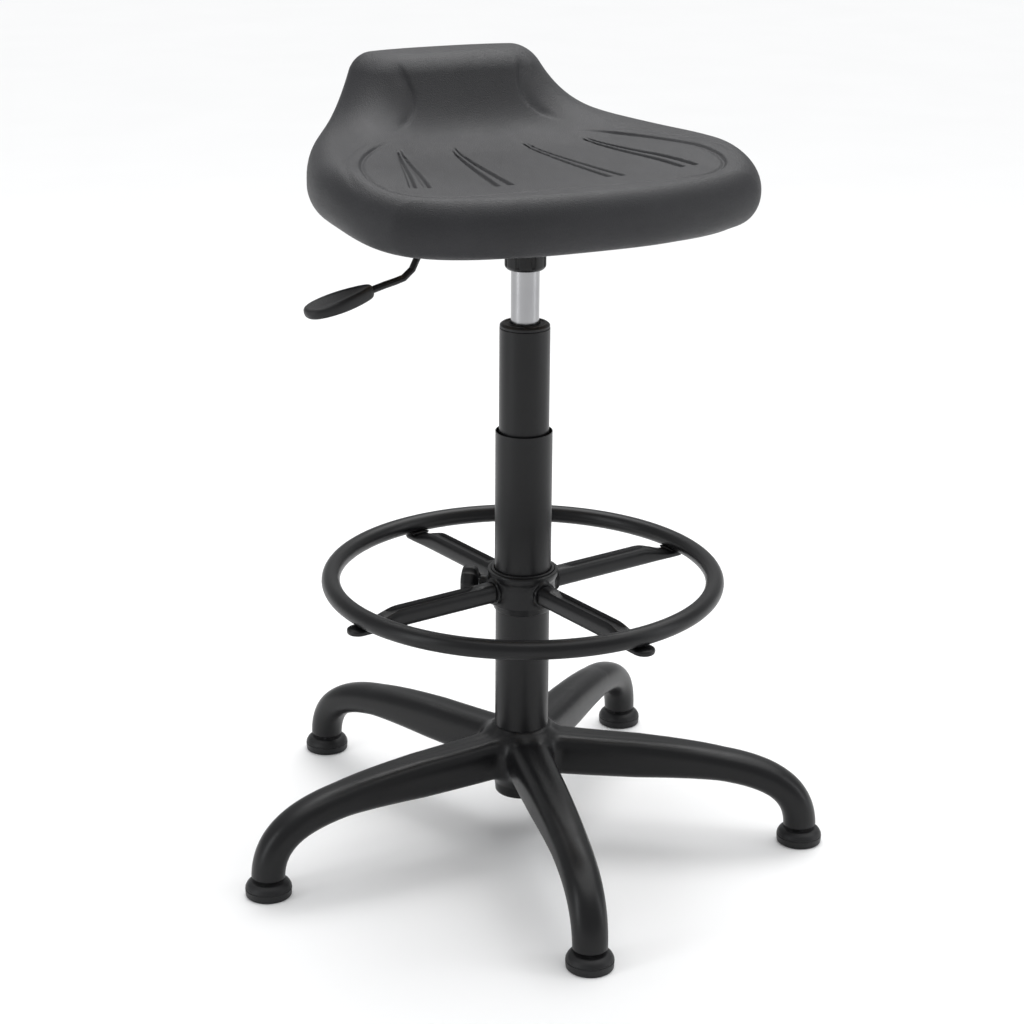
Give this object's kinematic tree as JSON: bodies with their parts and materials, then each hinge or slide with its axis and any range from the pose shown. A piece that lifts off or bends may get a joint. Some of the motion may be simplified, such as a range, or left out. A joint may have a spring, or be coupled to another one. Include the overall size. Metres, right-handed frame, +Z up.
{
  "type": "drafting stool",
  "caption": "Height-adjustable drafting stool: moulded low-back seat on a gas column with a sliding foot ring and a five-arm base on swivelling glides.",
  "frame": {"origin": "the floor plane on the axis of the column, with the seat as stored", "axes": "+Z up along the column; the sitter faces -Y, so the low back is at +Y; the height lever is on the -X side"},
  "size_m": [0.5859, 0.5978, 0.787],
  "materials": {
    "black_enamel": "satin black powder coat over steel tube and cast metal",
    "black_plastic": "moulded black nylon with a fine even texture",
    "zinc_steel": "bright zinc plated steel",
    "ground_steel": "ground and hard-chromed steel",
    "birch_board": "plain birch plywood",
    "seat_foam": "self-skinning polyurethane foam, charcoal, with a fine leather-like skin"
  },
  "bodies": {
    "stand": {"base_star": "black_enamel", "glide_stem_1": "zinc_steel", "glide_stem_2": "zinc_steel", "glide_stem_3": "zinc_steel", "glide_stem_4": "zinc_steel", "glide_stem_5": "zinc_steel", "outer_tube": "black_enamel", "guide_bush": "black_plastic", "stand_tube": "black_enamel", "bearing_lower_race": "zinc_steel"},
    "spindle": {"piston_rod": "ground_steel", "piston_head": "zinc_steel", "bearing_cage": "zinc_steel", "bearing_upper_race": "zinc_steel", "retaining_clip": "zinc_steel"},
    "seat": {"gas_cylinder": "ground_steel", "rod_gland": "black_plastic", "taper_socket": "black_enamel", "seat_plate": "black_enamel", "lever_pin": "zinc_steel", "seat_board": "birch_board", "tee_nut_1": "zinc_steel", "tee_nut_2": "zinc_steel", "tee_nut_3": "zinc_steel", "tee_nut_4": "zinc_steel", "seat_screw_1": "zinc_steel", "seat_screw_2": "zinc_steel", "seat_screw_3": "zinc_steel", "seat_screw_4": "zinc_steel", "seat_cushion": "seat_foam"},
    "lever": {"lever_rod": "black_enamel", "lever_paddle": "black_plastic"},
    "release_pin": {"release_pin": "zinc_steel"},
    "foot_ring_carriage": {"collar": "black_enamel", "collar_liner": "black_plastic", "sleeve": "black_enamel", "foot_ring": "black_enamel", "spoke_1": "black_enamel", "spoke_2": "black_enamel", "spoke_3": "black_enamel", "spoke_4": "black_enamel"},
    "clamp": {"clamp_knob": "black_plastic", "clamp_screw": "zinc_steel"},
    "glide_1": {"glide_foot_1": "black_plastic"},
    "glide_2": {"glide_foot_2": "black_plastic"},
    "glide_3": {"glide_foot_3": "black_plastic"},
    "glide_4": {"glide_foot_4": "black_plastic"},
    "glide_5": {"glide_foot_5": "black_plastic"}
  },
  "joints": [
    {"name": "glide_turn_1", "type": "hinge", "parent": "stand", "child": "glide_1", "pos_m": [-0.06497, -0.28366, 0], "axis": [0, 0, 1], "continuous": true},
    {"name": "glide_turn_2", "type": "hinge", "parent": "stand", "child": "glide_2", "pos_m": [0.2497, -0.14944, 0], "axis": [0, 0, 1], "continuous": true},
    {"name": "glide_turn_3", "type": "hinge", "parent": "stand", "child": "glide_3", "pos_m": [0.21929, 0.1913, 0], "axis": [0, 0, 1], "continuous": true},
    {"name": "glide_turn_4", "type": "hinge", "parent": "stand", "child": "glide_4", "pos_m": [-0.11417, 0.26767, 0], "axis": [0, 0, 1], "continuous": true},
    {"name": "glide_turn_5", "type": "hinge", "parent": "stand", "child": "glide_5", "pos_m": [-0.28985, -0.02587, 0], "axis": [0, 0, 1], "continuous": true},
    {"name": "seat_swivel", "type": "hinge", "parent": "stand", "child": "spindle", "pos_m": [0, 0, 0.045], "axis": [0, 0, 1], "continuous": true},
    {"name": "seat_height", "type": "slide", "parent": "spindle", "child": "seat", "axis": [0, 0, 1], "range_m": [-0.053, 0.197]},
    {"name": "lever_lift", "type": "hinge", "parent": "seat", "child": "lever", "pos_m": [-0.03, 0, 0.6465], "axis": [0, 1, 0], "range_deg": [0, 6], "stiffness_Nm_per_rad": 3, "springref_deg": -5.73},
    {"name": "release_travel", "type": "slide", "parent": "seat", "child": "release_pin", "axis": [0, 0, -1], "range_m": [0, 0.0035]},
    {"name": "foot_ring_height", "type": "slide", "parent": "stand", "child": "foot_ring_carriage", "axis": [0, 0, 1], "range_m": [-0.12, 0.1]},
    {"name": "clamp_turn", "type": "hinge", "parent": "foot_ring_carriage", "child": "clamp", "pos_m": [0, 0, 0.2725], "axis": [-0.8192, 0.5736, 0], "range_deg": [0, 540]}
  ],
  "couplings": [
    {"joint": "release_travel", "follows": "lever_lift", "m_per_rad": 0.03}
  ]
}
